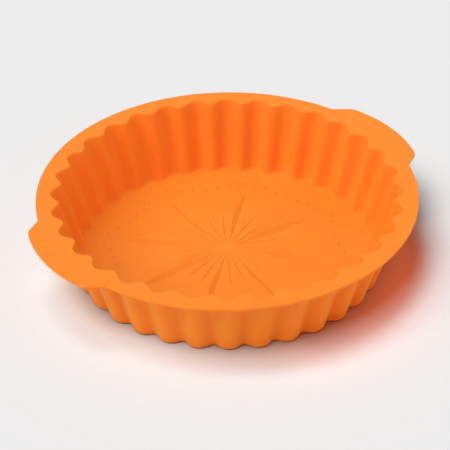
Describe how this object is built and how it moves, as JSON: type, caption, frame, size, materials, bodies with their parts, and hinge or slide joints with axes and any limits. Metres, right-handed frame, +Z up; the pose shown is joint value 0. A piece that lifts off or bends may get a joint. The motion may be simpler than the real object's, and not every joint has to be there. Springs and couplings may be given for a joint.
{
  "type": "silicone cake mould",
  "caption": "Round one-piece silicone cake mould with a fluted tapering wall, a flat rim with two ears, and a star inside a beaded border pressed into the floor.",
  "frame": {"origin": "middle of the underside, on the surface that the mould stands on", "axes": "+Z up out of the mouth, X through the middle of both ears, with the ear that has the small pit at -X"},
  "size_m": [0.27, 0.248, 0.05],
  "materials": {
    "silicone": "matte"
  },
  "bodies": {
    "root": {"mould": "silicone"}
  },
  "joints": []
}
